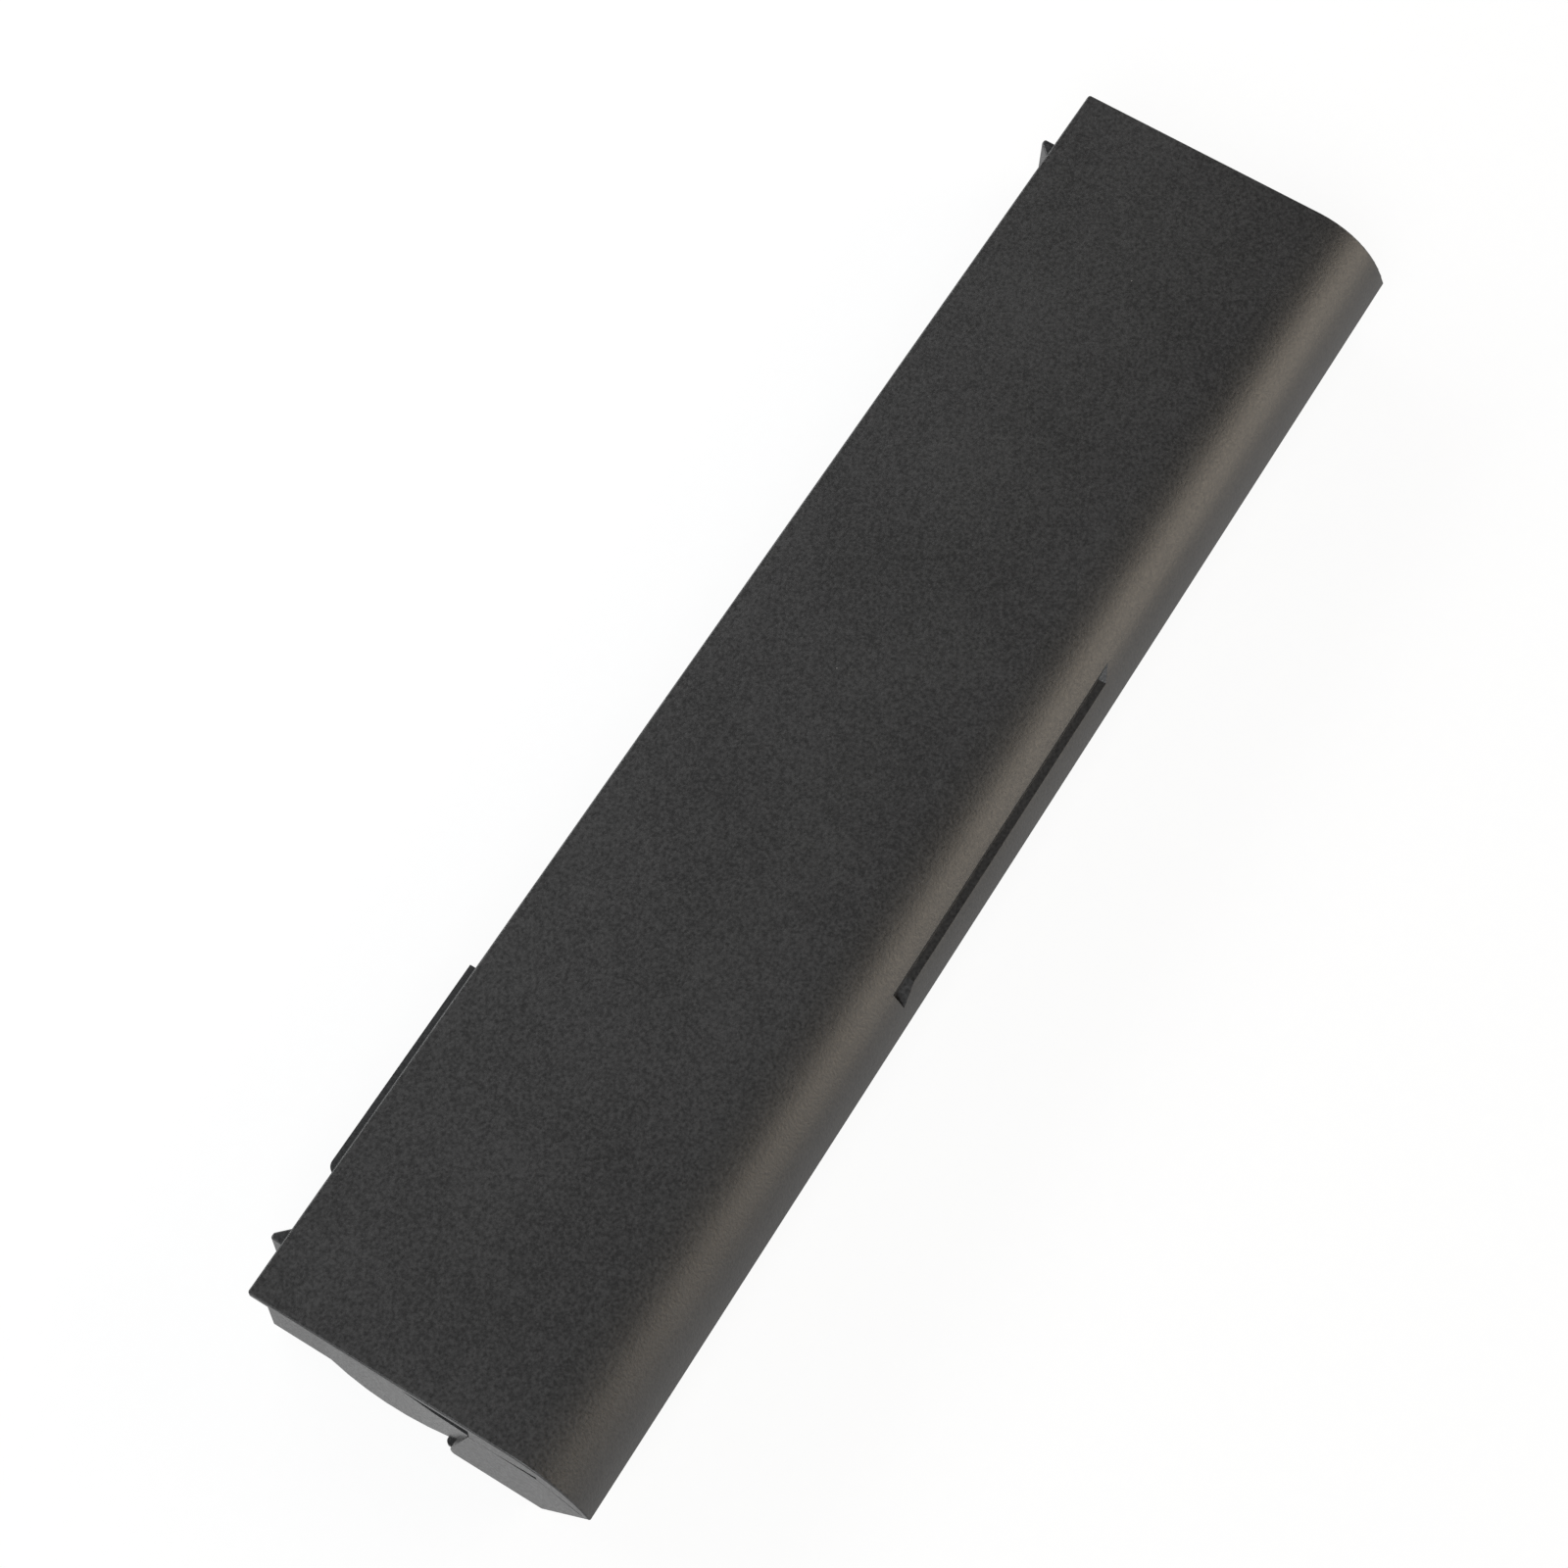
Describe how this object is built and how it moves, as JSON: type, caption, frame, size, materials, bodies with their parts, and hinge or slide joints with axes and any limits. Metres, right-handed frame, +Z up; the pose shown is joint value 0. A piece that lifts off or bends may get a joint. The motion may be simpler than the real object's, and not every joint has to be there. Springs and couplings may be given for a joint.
{
  "type": "laptop battery",
  "caption": "Slim oblong laptop battery with a plain cover, one rounded long edge with a finger groove, and hooks and a slotted connector on the other edge.",
  "frame": {"origin": "middle of the underside, at the centre of the bounding box in X and Y", "axes": "+X along the pack away from the connector's end, +Y towards the edge with the connector and the hooks, +Z up to the plain cover"},
  "size_m": [0.208, 0.0516, 0.0204],
  "materials": {
    "cover_plastic": "fine satin texture",
    "shell_plastic": "fine satin texture",
    "label_film": "blank satin film",
    "cell_sleeve": "shrink sleeve",
    "white_paper": "plain",
    "nickel": "rolled strip",
    "insulating_paper": "plain",
    "foam": "closed-cell foam",
    "board_laminate": "solder mask",
    "connector_plastic": "moulded",
    "contact_metal": "gold flash",
    "chip_plastic": "moulded",
    "fuse_ceramic": "plain",
    "capacitor_ceramic": "plain",
    "bead_epoxy": "dipped"
  },
  "bodies": {
    "root": {"board_insulators": "insulating_paper", "bottom_shell": "shell_plastic", "capacitors": "capacitor_ceramic", "cell_1": "cell_sleeve", "cell_2": "cell_sleeve", "cell_3": "cell_sleeve", "cell_4": "cell_sleeve", "cell_5": "cell_sleeve", "cell_6": "cell_sleeve", "cell_rings": "white_paper", "circuit_board": "board_laminate", "connector_contacts": "contact_metal", "connector_housing": "connector_plastic", "end_foams": "foam", "end_papers": "insulating_paper", "fuse": "fuse_ceramic", "gap_spacers": "insulating_paper", "gauge_chip": "chip_plastic", "mosfets": "chip_plastic", "rating_label": "label_film", "shunt_resistor": "chip_plastic", "strip_mid_1": "nickel", "strip_mid_2": "nickel", "strip_negative": "nickel", "strip_positive": "nickel", "thermistor": "bead_epoxy", "top_cover": "cover_plastic"}
  },
  "joints": []
}
